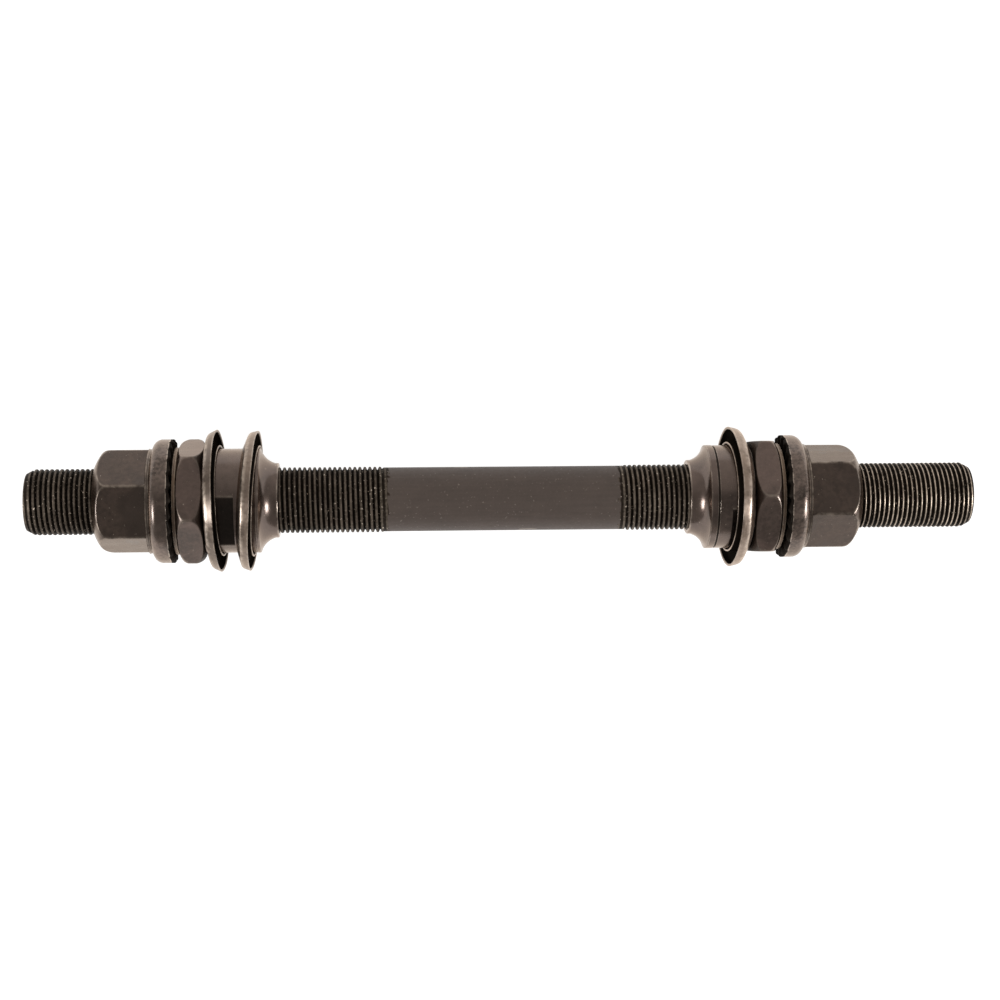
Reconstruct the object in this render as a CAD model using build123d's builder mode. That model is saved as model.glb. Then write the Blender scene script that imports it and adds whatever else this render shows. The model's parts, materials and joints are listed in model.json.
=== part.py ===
"""Solid threaded bicycle hub axle with its bearing cones, dust caps, locknuts, washers and axle nuts.

The axle lies along X with its middle at the origin, and Z is up, towards the side seen first.
Lengths are millimetres and angles are degrees. A place along the axle is its distance outward from
the axle's middle, and the side of the axle is -1 for the left end and 1 for the right end.
The axle's threads are rings of their true pitch and depth in place of a helix, and the bores that run
on them are plain and clear their crests.
"""
from build123d import *
from math import sin, radians, sqrt
import os

LEFT = -1
RIGHT = 1

# Axle
axle_length = 200.0
thread_diameter = 13.9
thread_clearance = 0.05
thread_depth = 0.65
thread_land = 0.2
left_thread_length = 74.75
left_thread_pitch = 1.058
right_thread_length = 74.5
right_inner_thread_pitch = 1.058
right_outer_thread_length = 43.0
right_outer_thread_pitch = 1.0
end_chamfer_length = 1.7
end_chamfer_depth = 0.9
plain_depth = 0.15

# Bearing cones
left_end_to_cone = 52.7
left_cone_body = 11.35
left_cone_wall = 4.05
left_cone_ring_width = 0.6
left_cone_flat_length = 6.3
left_cone_flat_turn = -27.0
right_end_to_cone = 60.8
right_cone_body = 9.3
right_cone_wall = 4.05
right_cone_ring_width = 1.45
right_cone_flat_length = 4.85
right_cone_flat_turn = -45.0
cone_flat_wall = 2.45
cone_ring_height = 0.05
cone_shoulder = 0.15
cone_lip_length = 0.75
cone_lip_chamfer = 0.35
cone_lip_height = 0.9
race_width = 3.15
race_radius = 4.4

# Dust caps, pressed from sheet
cap_sheet = 0.5
cap_collar_sheet = 0.4
cap_collar_reach = 0.45
outer_cap_setback = 0.55
outer_cap_clearance = 0.3
outer_cap_depth = 2.25
outer_cap_shoulder_depth = 0.45
outer_cap_shoulder_height = 2.9
outer_cap_rim_height = 3.75
outer_cap_nod = -1.6
outer_cap_swing = -2.8
inner_cap_from_tip = 7.85
inner_cap_clearance = 0.35
inner_cap_depth = 2.75
inner_cap_shoulder_depth = 1.0
inner_cap_shoulder_height = 3.0
inner_cap_rim_height = 3.5
inner_cap_nod = 3.5
inner_cap_swing = -1.8
right_cap_setback = 0.75
right_cap_clearance = 0.3
right_cap_depth = 3.35
right_cap_shoulder_depth = 1.5
right_cap_shoulder_height = 3.2
right_cap_rim_height = 3.65
right_cap_nod = 0.0
right_cap_swing = 3.0

# Locknuts
locknut_wall = 4.75
locknut_height = 5.4
locknut_round_length = 1.9
locknut_round_height = 2.4
locknut_round_radius = 2.7
locknut_gap = 0.1
left_locknut_turn = -17.5
right_locknut_turn = 0.0

# Thin washers
thin_washer_width = 4.35
thin_washer_thickness = 0.85
thin_washer_clearance = 0.15
left_thin_washer_gap = 0.05
right_thin_washer_gap = 0.15

# Serrated washers, held on the axle nuts
washer_width = 4.85
washer_thickness = 4.55
washer_shoulder_radius = 2.0
washer_rim_radius = 0.45
washer_bore_clearance = 0.1
washer_recess_depth = 1.9
washer_tooth_count = 24
washer_tooth_depth = 0.7
washer_tooth_fill = 0.92
washer_tooth_lean = 0.45
left_washer_gap = 0.05
right_washer_gap = 0.2

# Axle nuts
nut_wall = 2.75
nut_height = 12.05
nut_dome_radius = 4.0
nut_collar_width = 4.05
nut_collar_thickness = 0.8
nut_neck_wall = 1.25
nut_lip_height = 0.6
nut_lip_thickness = 0.7
nut_lip_play = 0.1
nut_gap = 0.05
left_nut_turn = 16.5
right_nut_turn = -20.5

# Diameters that follow the thread
plain_diameter = thread_diameter - 2 * plain_depth
left_cone_diameter = thread_diameter + 2 * left_cone_wall
right_cone_diameter = thread_diameter + 2 * right_cone_wall
cone_across_flats = thread_diameter + 2 * cone_flat_wall
locknut_across_flats = thread_diameter + 2 * locknut_wall
thin_washer_diameter = thread_diameter + 2 * thin_washer_width
nut_across_flats = thread_diameter + 2 * nut_wall
nut_collar_diameter = thread_diameter + 2 * nut_collar_width
nut_neck_diameter = thread_diameter + 2 * nut_neck_wall
washer_diameter = nut_neck_diameter + 2 * washer_width

# Places along the axle
bore_radius = thread_diameter / 2 + thread_clearance
left_plain_end = axle_length / 2 - left_thread_length
right_plain_end = axle_length / 2 - right_thread_length
right_thread_change = axle_length / 2 - right_outer_thread_length
left_cone_tip = axle_length / 2 - left_end_to_cone
right_cone_tip = axle_length / 2 - right_end_to_cone
cone_race_end = cone_lip_length + race_width
left_cone_face = left_cone_tip + cone_race_end + left_cone_body
right_cone_face = right_cone_tip + cone_race_end + right_cone_body
left_locknut_face = left_cone_face + locknut_gap
right_locknut_face = right_cone_face + locknut_gap
left_thin_washer_face = left_locknut_face + locknut_height + left_thin_washer_gap
right_thin_washer_face = right_locknut_face + locknut_height + right_thin_washer_gap
left_washer_face = left_thin_washer_face + thin_washer_thickness + left_washer_gap
right_washer_face = right_thin_washer_face + thin_washer_thickness + right_washer_gap
left_nut_face = left_washer_face + washer_thickness + nut_gap
right_nut_face = right_washer_face + washer_thickness + nut_gap


def section_plane(side):
    """Plane for an outline to be revolved: first the distance outward, then the radius."""
    return Plane(origin=(0, 0, 0), x_dir=(side, 0, 0), z_dir=(0, -side, 0))


def end_plane(side, place):
    """Plane across the axle at a place: its first axis points up and its normal outward."""
    return Plane(origin=(side * place, 0, 0), x_dir=(0, 0, 1), z_dir=(side, 0, 0))


def arc_middle(start, end, radius):
    """Middle point of the arc from start to end that bends to the right of its chord."""
    chord = Vector(*end) - Vector(*start)
    bend = radius - sqrt(radius**2 - (chord.length / 2) ** 2)
    return (Vector(*start) + Vector(*end)) * 0.5 + Vector(chord.Y, -chord.X).normalized() * bend


def thread_rings(start, end, pitch):
    """Outline of a threaded stretch from start to end: a groove, then a narrow land, for each pitch."""
    crest = thread_diameter / 2
    flank = pitch * (1 - thread_land) / 2
    points = []
    for turn in range(int((end - start) / pitch)):
        groove = start + turn * pitch
        points += [(groove, crest), (groove + flank, crest - thread_depth), (groove + 2 * flank, crest)]
    return points


def axle():
    """Bar with a ringed thread at each end, a slightly thinner plain middle and chamfered ends."""
    half = axle_length / 2
    thread = thread_diameter / 2
    tip = thread - end_chamfer_depth
    chamfer = half - end_chamfer_length
    left_rings = thread_rings(left_plain_end, chamfer, left_thread_pitch)
    with BuildPart() as bar:
        with BuildSketch(section_plane(RIGHT)):
            with BuildLine():
                Polyline(
                    (-half, 0), (-half, tip), (-chamfer, thread),
                    *[(-place, radius) for place, radius in reversed(left_rings)],
                    (-left_plain_end, plain_diameter / 2), (right_plain_end, plain_diameter / 2),
                    *thread_rings(right_plain_end, right_thread_change, right_inner_thread_pitch),
                    *thread_rings(right_thread_change, chamfer, right_outer_thread_pitch),
                    (chamfer, thread), (half, tip), (half, 0),
                    close=True,
                )
            make_face()
        revolve(axis=Axis.X)
    return bar


def cone(side, tip, body_length, diameter, ring_width, flat_length, flat_turn):
    """Bearing cone: lip, hollow race, raised ring, round body and two spanner flats outside."""
    body = diameter / 2
    ring = body + cone_ring_height
    lip = bore_radius + cone_lip_height
    race_start = (tip + cone_lip_length, lip)
    race_end = (tip + cone_race_end, ring)
    ring_end = tip + cone_race_end + ring_width
    outer = tip + cone_race_end + body_length
    with BuildPart() as piece:
        with BuildSketch(section_plane(side)):
            with BuildLine():
                Polyline((tip, bore_radius), (tip, lip - cone_lip_chamfer), (tip + cone_lip_chamfer, lip),
                         race_start)
                ThreePointArc(race_start, arc_middle(race_start, race_end, race_radius), race_end)
                Polyline(race_end, (ring_end, ring), (ring_end + cone_shoulder, body), (outer, body),
                         (outer, bore_radius), (tip, bore_radius))
            make_face()
        revolve(axis=Axis.X)
        with BuildSketch(end_plane(side, outer - flat_length)):
            with PolarLocations(cone_across_flats / 2 + body, 2, start_angle=-side * flat_turn):
                Rectangle(2 * body, 2 * diameter)
        extrude(amount=flat_length, mode=Mode.SUBTRACT)
    return piece


def dust_cap(side, web, bore, depth, shoulder_depth, shoulder_height, rim_height, nod, swing):
    """Sheet cap open towards the middle: collar, sloping web and a band that flares to the rim.

    The nod tips its +Y side towards +X and the swing tips its top towards +X.
    """
    length = depth + cap_collar_reach
    top = length / 2
    fold = bore + cap_collar_sheet
    shoulder = bore + shoulder_height
    rim = bore + rim_height
    axis_way = Vector(1, 0, 0).rotate(Axis.Z, -nod).rotate(Axis.Y, swing)
    flat_way = Vector(0, 0, 1).rotate(Axis.Z, -nod).rotate(Axis.Y, swing)
    seat = Plane(origin=(side * (web - top), 0, 0), x_dir=axis_way * side, z_dir=flat_way * side)
    with BuildPart() as piece:
        with BuildSketch(seat):
            with BuildLine():
                Polyline(
                    (-top, bore), (top, bore), (top, fold),
                    (top - shoulder_depth, shoulder), (top - depth, rim),
                    (top - depth, rim - cap_sheet),
                    (top - shoulder_depth - cap_sheet, shoulder - cap_sheet),
                    (top - cap_sheet, fold), (-top, fold),
                    close=True,
                )
            make_face()
        revolve(axis=Axis(seat.origin, seat.x_dir))
    return piece


def locknut(side, face, turn):
    """Wide hexagonal locknut, rounded off towards both faces."""
    corner = locknut_across_flats / sqrt(3)
    outer = face + locknut_height
    inner_start = (face, corner - locknut_round_height)
    inner_end = (face + locknut_round_length, corner)
    outer_start = (outer - locknut_round_length, corner)
    outer_end = (outer, corner - locknut_round_height)
    with BuildPart() as piece:
        with BuildSketch(end_plane(side, face)):
            RegularPolygon(locknut_across_flats / 2, 6, major_radius=False, rotation=-side * turn)
        extrude(amount=locknut_height)
        with BuildSketch(section_plane(side)):
            with BuildLine():
                Line((face, 0), inner_start)
                ThreePointArc(inner_start, arc_middle(inner_end, inner_start, locknut_round_radius),
                              inner_end)
                Line(inner_end, outer_start)
                ThreePointArc(outer_start, arc_middle(outer_end, outer_start, locknut_round_radius),
                              outer_end)
                Polyline(outer_end, (outer, 0), (face, 0))
            make_face()
        revolve(axis=Axis.X, mode=Mode.INTERSECT)
        with BuildSketch(end_plane(side, face)):
            Circle(bore_radius)
        extrude(amount=locknut_height, mode=Mode.SUBTRACT)
    return piece


def thin_washer(side, face):
    """Flat ring lying against the locknut."""
    with BuildPart() as piece:
        with BuildSketch(end_plane(side, face)):
            Circle(thin_washer_diameter / 2)
            Circle(thread_diameter / 2 + thin_washer_clearance, mode=Mode.SUBTRACT)
        extrude(amount=thin_washer_thickness)
    return piece


def tooth_gap(side, face):
    """Space between two teeth: a wedge that widens outward from the axle."""
    spread = washer_tooth_fill * sin(radians(180 / washer_tooth_count))
    with BuildPart() as gap:
        for radius in (nut_neck_diameter / 2, washer_diameter / 2 + 1):
            half = radius * spread
            with BuildSketch(Plane(origin=(side * face, 0, radius), x_dir=(0, 1, 0), z_dir=(0, 0, 1))):
                with BuildLine():
                    Polyline(
                        (-half, side), (half, side), (half, 0),
                        (half * washer_tooth_lean, -side * washer_tooth_depth), (-half, 0),
                        close=True,
                    )
                make_face()
        loft()
    return gap


def serrated_washer(side, face):
    """Thick ring with a rounded outer shoulder, radial teeth and a recess for the nut's lip."""
    rim = washer_diameter / 2
    outer = face + washer_thickness
    floor = face + washer_recess_depth
    bore = nut_neck_diameter / 2 + washer_bore_clearance
    recess = bore + nut_lip_height
    gap = tooth_gap(side, face).part
    with BuildPart() as piece:
        with BuildSketch(section_plane(side)):
            with BuildLine():
                Polyline((face, recess), (face, rim), (outer, rim), (outer, bore), (floor, bore),
                         (floor, recess), close=True)
            make_face()
        revolve(axis=Axis.X)
        rim_edges = piece.edges().filter_by(GeomType.CIRCLE).group_by(SortBy.RADIUS)[-1].sort_by(Axis.X)
        fillet(rim_edges[-1 if side == RIGHT else 0], washer_shoulder_radius)
        rim_edges = piece.edges().filter_by(GeomType.CIRCLE).group_by(SortBy.RADIUS)[-1].sort_by(Axis.X)
        fillet(rim_edges[0 if side == RIGHT else -1], washer_rim_radius)
        for tooth in range(washer_tooth_count):
            add(gap.rotate(Axis.X, 360 * tooth / washer_tooth_count), mode=Mode.SUBTRACT)
    return piece


def axle_nut(side, face, turn):
    """Domed hexagonal nut with a round collar and a neck whose lip holds the serrated washer."""
    corner = nut_across_flats / sqrt(3)
    outer = face + nut_height
    dome_start = (outer - nut_dome_radius, corner)
    dome_end = (outer, corner - nut_dome_radius)
    neck = nut_neck_diameter / 2
    lip = neck + nut_lip_height
    lip_start = face - nut_gap - washer_thickness + washer_recess_depth - nut_lip_play
    neck_end = lip_start - nut_lip_thickness
    collar = nut_collar_diameter / 2
    collar_end = face + nut_collar_thickness
    with BuildPart() as piece:
        with BuildSketch(end_plane(side, face)):
            RegularPolygon(nut_across_flats / 2, 6, major_radius=False, rotation=-side * turn)
        extrude(amount=nut_height)
        with BuildSketch(section_plane(side)):
            with BuildLine():
                Polyline((face, 0), (face, corner), dome_start)
                ThreePointArc(dome_start, arc_middle(dome_end, dome_start, nut_dome_radius), dome_end)
                Polyline(dome_end, (outer, 0), (face, 0))
            make_face()
        revolve(axis=Axis.X, mode=Mode.INTERSECT)
        with BuildSketch(section_plane(side)):
            with BuildLine():
                Polyline(
                    (neck_end, 0), (neck_end, lip), (lip_start, lip), (lip_start, neck), (face, neck),
                    (face, collar), (collar_end, collar), (collar_end, 0),
                    close=True,
                )
            make_face()
        revolve(axis=Axis.X)
        with BuildSketch(end_plane(side, neck_end)):
            Circle(bore_radius)
        extrude(amount=outer - neck_end, mode=Mode.SUBTRACT)
    return piece


left_collar = left_cone_diameter / 2
right_collar = right_cone_diameter / 2
pieces = {
    "axle": axle(),
    "left_cone": cone(LEFT, left_cone_tip, left_cone_body, left_cone_diameter, left_cone_ring_width,
                      left_cone_flat_length, left_cone_flat_turn),
    "right_cone": cone(RIGHT, right_cone_tip, right_cone_body, right_cone_diameter,
                       right_cone_ring_width, right_cone_flat_length, right_cone_flat_turn),
    "left_outer_dust_cap": dust_cap(LEFT, left_cone_face - outer_cap_setback,
                                    left_collar + outer_cap_clearance, outer_cap_depth,
                                    outer_cap_shoulder_depth, outer_cap_shoulder_height,
                                    outer_cap_rim_height, outer_cap_nod, outer_cap_swing),
    "left_inner_dust_cap": dust_cap(LEFT, left_cone_tip + inner_cap_from_tip,
                                    left_collar + inner_cap_clearance, inner_cap_depth,
                                    inner_cap_shoulder_depth, inner_cap_shoulder_height,
                                    inner_cap_rim_height, inner_cap_nod, inner_cap_swing),
    "right_dust_cap": dust_cap(RIGHT, right_cone_face - right_cap_setback,
                               right_collar + right_cap_clearance, right_cap_depth,
                               right_cap_shoulder_depth, right_cap_shoulder_height,
                               right_cap_rim_height, right_cap_nod, right_cap_swing),
    "left_locknut": locknut(LEFT, left_locknut_face, left_locknut_turn),
    "right_locknut": locknut(RIGHT, right_locknut_face, right_locknut_turn),
    "left_thin_washer": thin_washer(LEFT, left_thin_washer_face),
    "right_thin_washer": thin_washer(RIGHT, right_thin_washer_face),
    "left_serrated_washer": serrated_washer(LEFT, left_washer_face),
    "right_serrated_washer": serrated_washer(RIGHT, right_washer_face),
    "left_axle_nut": axle_nut(LEFT, left_nut_face, left_nut_turn),
    "right_axle_nut": axle_nut(RIGHT, right_nut_face, right_nut_turn),
}

os.makedirs("parts", exist_ok=True)
for name, piece in pieces.items():
    piece.part.label = name
    export_step(piece.part, f"parts/{name}.step")
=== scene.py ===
"""Finished look of a solid threaded bicycle hub axle with its cones, dust caps, nuts and washers.

Lengths are metres. A place along the axle is its distance outward from the axle's middle, the
side is -1 for the left end and 1 for the right end, and a turn is the angle from straight up
towards +Y.
"""
import json
from collections import namedtuple
from math import ceil, cos, floor, pi, radians, sin, sqrt, tau

import bmesh
import bpy
from mathutils import Matrix, Vector


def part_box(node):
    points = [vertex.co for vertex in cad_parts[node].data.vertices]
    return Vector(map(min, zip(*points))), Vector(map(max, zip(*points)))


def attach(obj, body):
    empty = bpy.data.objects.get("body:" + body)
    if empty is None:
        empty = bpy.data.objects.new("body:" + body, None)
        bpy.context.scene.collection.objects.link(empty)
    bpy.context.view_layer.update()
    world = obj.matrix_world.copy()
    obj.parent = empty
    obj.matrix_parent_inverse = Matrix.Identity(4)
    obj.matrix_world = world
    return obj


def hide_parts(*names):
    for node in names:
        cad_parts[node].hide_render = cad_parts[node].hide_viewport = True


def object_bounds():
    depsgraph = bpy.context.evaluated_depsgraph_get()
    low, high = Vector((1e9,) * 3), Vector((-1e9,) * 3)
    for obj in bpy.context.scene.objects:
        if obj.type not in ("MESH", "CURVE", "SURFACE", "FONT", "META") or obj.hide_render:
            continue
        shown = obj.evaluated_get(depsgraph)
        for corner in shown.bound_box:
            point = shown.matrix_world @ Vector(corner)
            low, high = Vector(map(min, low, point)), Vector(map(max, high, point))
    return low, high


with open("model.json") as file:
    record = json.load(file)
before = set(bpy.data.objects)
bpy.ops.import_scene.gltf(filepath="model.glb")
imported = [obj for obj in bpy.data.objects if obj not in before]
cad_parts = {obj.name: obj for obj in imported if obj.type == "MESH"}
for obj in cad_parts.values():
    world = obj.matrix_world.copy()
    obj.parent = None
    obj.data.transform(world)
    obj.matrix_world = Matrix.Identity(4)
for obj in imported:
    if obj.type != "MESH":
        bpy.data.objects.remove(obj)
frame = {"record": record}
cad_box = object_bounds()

bl_info = {
    "name": "Bicycle hub axle",
    "version": (1, 0, 0),
    "blender": (4, 5, 0),
    "location": "View3D > Sidebar > Hub axle",
    "description": "Builds a threaded hub axle with its cones, dust caps, nuts and washers",
    "category": "Add Mesh",
}

MM = 0.001
SIDES = {"left": -1, "right": 1}

# Edges: a rounding takes at most the first share of an arm, and its support row the second share
FINE = 0.1 * MM
SOFT = 0.15 * MM
BROAD = 0.3 * MM
BESIDE = 0.05 * MM
ROUNDING_STEPS = 4
ROUNDING_SHARE = 0.4
SUPPORT_SHARE = 0.48
SUPPORT_REACH = 2.2
WEAR_WIDTH = 0.22 * MM
SHARP_FROM = radians(40)

# Small forms of the cones, caps and washers
RING_EDGE = 0.06 * MM
GROOVE_DEPTH = 0.18 * MM
GROOVE_WIDTH = 0.35 * MM
GROOVE_SLOPE = 0.07 * MM
# Painted dark reflection on the cones' spanner flats, which face the dark caps
FLAT_PAINTED_DARK = 0.8
SHEET_EDGE = 0.12 * MM
FOLD_BEND = 0.2 * MM
CAP_BEND = 0.45 * MM
# Where the painted shade inside a dust cap begins, in from its mouth and its foot
DARK_FROM = 0.25 * MM
THIN_EDGE = 0.16 * MM
# Width of the painted shade on a serrated washer's toothed rim
DARK_WIDTH = 0.66 * MM
# Place and dip of the row that carries a painted highlight along a serrated washer's rim
BRIGHT_FROM = 0.85 * MM
BRIGHT_DIP = 0.02 * MM
SHOULDER_FROM = 1.5 * MM
TOOTH_LAND = 0.92
TOOTH_FADE = 0.35 * MM

# Fineness of the meshes
RING_TURNS = 300
CAP_TURNS = 220
THIN_TURNS = 240
TURNS_PER_TOOTH = 20
CORNER_LEANS = (-1.3, -0.6, -0.2, 0.2, 0.6, 1.3)
LEAST_COSINE = 0.2
MERGE_REACH = 1e-7
THIN_FACE_REACH = 1e-8

# Thread: the phases place the crests as in the photo
LEFT_PHASE = 0.353
RIGHT_PHASE = 0.608
OUTER_PHASE = 0.30
ROWS_PER_TURN = 8
THREAD_COLUMNS = 73
PLAIN_STEP = 7 * MM
THREAD_WELD = 4e-6
RUN_OUT = 0.6
NICK_RING = 7 * MM
NICK_SCALE = 620.0
BAR_SIZES = ("Crest radius", "Thread depth", "Plain radius", "Half length", "Tip length",
             "Tip depth", "Nick depth")

# Finishes: scales for marks that run along the axle and round it, and the brown patches of oil
DRAWN = (0.1, 1.0, 1.0)
RINGED = (1.0, 0.03, 0.03)
OIL_IOR = 1.65
BUMP_HEIGHT = 0.06 * MM
WARM_SHINE = (1.0, 0.84, 0.70, 1.0)
OIL_PATCHES = (
    ((-73.5 * MM, -2.5 * MM, 9.5 * MM), 7.5 * MM),
    ((-66.5 * MM, -9.0 * MM, 9.0 * MM), 5.0 * MM),
    ((-57.8 * MM, -4.3 * MM, 8.4 * MM), 6.0 * MM),
    ((47.0 * MM, -3.5 * MM, 10.5 * MM), 5.0 * MM),
    ((55.3 * MM, -6.5 * MM, 11.0 * MM), 5.5 * MM),
)

# Stage
WHITE = (1.0, 1.0, 1.0, 1.0)
WARM_LIGHT = (1.0, 0.95, 0.90, 1.0)
FAR_LIGHT = 0.5
NEAR_LIGHT = 0.1
ROUND_LIGHT = 0.33
FLOOR_GREY = (0.35, 0.35, 0.35, 1.0)
FLOOR_GLOW = 0.92
FLOOR_GAP = 0.2 * MM
LAMP_SIZE = 0.16
LAMPS = (("left_lamp", (-0.56, -0.16, 0.22), 1.7), ("right_lamp", (0.56, -0.16, 0.22), 2.2))

# The last field of Corner and Row darkens the surface towards the darkest finish colour: dirt
# inside the caps, and painted shade in hollows, gaps, grooves and on faces that reflect dark
# parts.
Corner = namedtuple("Corner", "place radius rounding cut soot", defaults=(0.0, False, 0.0))
Row = namedtuple("Row", "place radius worn cut soot")
Stretch = namedtuple("Stretch", "near far pitch plain_end phase trough land")
CapForm = namedtuple("CapForm",
                     "web bore depth shoulder_depth shoulder_height rim_height nod swing")
Look = namedtuple("Look", "roughness mottle stains wear grain turned")

LOOKS = {
    "nut": Look(0.34, 0.35, 0.8, 0.45, 1100.0, False),
    "locknut": Look(0.34, 0.20, 0.7, 0.40, 1300.0, False),
    "washer": Look(0.30, 0.65, 0.35, 0.80, 1500.0, False),
    "ring": Look(0.45, 0.20, 0.5, 0.30, 1500.0, True),
    "cap": Look(0.34, 0.25, 0.35, 0.50, 1200.0, True),
    "cone": Look(0.24, 0.14, 0.5, 0.40, 900.0, True),
}


# Settings

def length(name, description, default):
    """Size in metres that a user may change."""
    return bpy.props.FloatProperty(name=name, description=description, default=default,
                                   unit="LENGTH", precision=5)


def angle(name, description, degrees):
    """Angle that a user may change."""
    return bpy.props.FloatProperty(name=name, description=description, default=radians(degrees),
                                   unit="ROTATION")


def colour(name, description, default):
    """Linear colour that a user may change."""
    return bpy.props.FloatVectorProperty(name=name, description=description, default=default,
                                         size=3, min=0.0, max=1.0, subtype="COLOR")


def share(name, description, default):
    """Share from 0 to 1 that a user may change."""
    return bpy.props.FloatProperty(name=name, description=description, default=default,
                                   min=0.0, max=1.0, subtype="FACTOR")


class AxleSizes(bpy.types.PropertyGroup):
    """Sizes of the bar and its threads"""
    crest_radius: length("Crest radius", "Radius over the thread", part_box("axle")[1][2])
    half_length: length("Half length", "From the axle's middle to its end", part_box("axle")[1][0])
    thread_depth: length("Thread depth", "From crest to root", 0.66 * MM)
    plain_radius: length("Plain radius", "Radius of the plain middle", 6.78 * MM)
    left_plain_end: length("Left thread start", "Where the left thread begins", 25.25 * MM)
    right_plain_end: length("Right thread start", "Where the right thread begins", 25.5 * MM)
    pitch: length("Pitch", "Pitch of the left and the inner right thread", 1.058 * MM)
    right_pitch: length("Right end pitch", "Pitch of the thread on the right end", 1.0 * MM)
    right_change: length("Right pitch change", "Where the right end's pitch begins", 57 * MM)
    meeting: length("Middle stretch", "Half the length of the stretch without thread", 24.5 * MM)
    tip_length: length("Tip length", "Length of the chamfer on each end", 1.7 * MM)
    tip_depth: length("Tip depth", "Depth of the chamfer on each end", 0.9 * MM)
    nick_depth: length("Nick depth", "How deep nicks cut into the crests", 0.16 * MM)


class ConeSizes(bpy.types.PropertyGroup):
    """Sizes of the bearing cones"""
    bore_radius: length("Bore radius", "Radius of the bore", 7.0 * MM)
    lip_radius: length("Lip radius", "Radius of the lip inside the race", 7.9 * MM)
    lip_length: length("Lip length", "From the inner face to the race", 0.75 * MM)
    race_width: length("Race width", "Length of the race along the axle", 3.15 * MM)
    race_bend: length("Race bend", "Radius of the hollow race", 4.4 * MM)
    ring_height: length("Ring height", "Height of the ring beside the race", 0.05 * MM)
    left_ring_width: length("Left ring width", "Width of the left ring", 0.6 * MM)
    right_ring_width: length("Right ring width", "Width of the right ring", 1.45 * MM)
    body_radius: length("Body radius", "Radius of the body", 11.0 * MM)
    across_flats: length("Across flats", "Distance between the spanner flats", 18.8 * MM)
    left_flat_length: length("Left flat length", "Length of the left flats", 6.3 * MM)
    right_flat_length: length("Right flat length", "Length of the right flats", 4.85 * MM)
    left_flat_turn: angle("Left flat turn", "Turn of the left flats", -27)
    right_flat_turn: angle("Right flat turn", "Turn of the right flats", -45)


class CapSizes(bpy.types.PropertyGroup):
    """Sizes of the pressed dust caps"""
    sheet: length("Sheet", "Thickness of the band", 0.5 * MM)
    collar_sheet: length("Collar sheet", "Thickness of the inner collar", 0.4 * MM)
    collar_reach: length("Collar reach", "How far the collar stands out past the rim", 0.45 * MM)
    wave: length("Rim wave", "How far the rims are bent out of true", 0.14 * MM)


class LocknutSizes(bpy.types.PropertyGroup):
    """Sizes of the wide locknuts"""
    across_flats: length("Across flats", "Distance between opposite flats", 23.4 * MM)
    round_length: length("Rounding length", "Length of the rounding along the axle", 1.9 * MM)
    round_height: length("Rounding height", "Height of the rounding", 2.4 * MM)
    round_bend: length("Rounding bend", "Radius of the rounding", 2.7 * MM)
    bore_radius: length("Bore radius", "Radius of the bore", 7.0 * MM)
    soft_edge: length("Soft edge", "Width of the hexagon's softened edges", 0.22 * MM)
    left_turn: angle("Left turn", "Turn of the left locknut's corner", -17.5)
    right_turn: angle("Right turn", "Turn of the right locknut's corner", 0)


class WasherSizes(bpy.types.PropertyGroup):
    """Sizes of the serrated and the thin washers"""
    shoulder_bend: length("Shoulder bend", "Radius of the outer shoulder", 2.0 * MM)
    rim_bend: length("Rim bend", "Radius at the teeth's outer ends", 0.45 * MM)
    bore_radius: length("Bore radius", "Radius around the nut's neck", 8.3 * MM)
    recess_radius: length("Recess radius", "Radius around the nut's lip", 8.9 * MM)
    recess_depth: length("Recess depth", "Depth of the recess from the teeth", 1.9 * MM)
    tooth_count: bpy.props.IntProperty(name="Teeth", description="Number of radial teeth",
                                       default=24)
    tooth_depth: length("Tooth depth", "Depth of the radial teeth", 0.5 * MM)
    tooth_lean: share("Tooth lean", "How far the teeth lean to one side", 0.45)
    thin_bore_radius: length("Thin bore radius", "Bore radius of the thin washers", 7.1 * MM)


class NutSizes(bpy.types.PropertyGroup):
    """Sizes of the domed axle nuts"""
    across_flats: length("Across flats", "Distance between opposite flats", 19.4 * MM)
    dome_bend: length("Dome bend", "Radius of the dome's shoulder", 2.8 * MM)
    dome_length: length("Dome length", "Length of the domed end", 3.6 * MM)
    dome_height: length("Dome height", "Height of the domed end", 3.5 * MM)
    crown_bend: length("Crown bend", "Radius of the crown at the dome's end", 12 * MM)
    crown_length: length("Crown length", "Length of the crown", 1.3 * MM)
    crown_height: length("Crown height", "Height of the crown", 2.3 * MM)
    collar_radius: length("Collar radius", "Radius of the round collar", 11.0 * MM)
    collar_thickness: length("Collar thickness", "Thickness of the round collar", 0.8 * MM)
    neck_radius: length("Neck radius", "Radius of the neck in the washer", 8.2 * MM)
    neck_length: length("Neck length", "Length of the neck with its lip", 3.5 * MM)
    lip_radius: length("Lip radius", "Radius of the lip that holds the washer", 8.8 * MM)
    lip_thickness: length("Lip thickness", "Thickness of the lip", 0.7 * MM)
    bore_radius: length("Bore radius", "Radius of the bore", 7.0 * MM)
    soft_edge: length("Soft edge", "Width of the hexagon's softened edges", 0.25 * MM)
    left_turn: angle("Left turn", "Turn of the left nut's corner", 16.5)
    right_turn: angle("Right turn", "Turn of the right nut's corner", -20.5)


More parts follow.
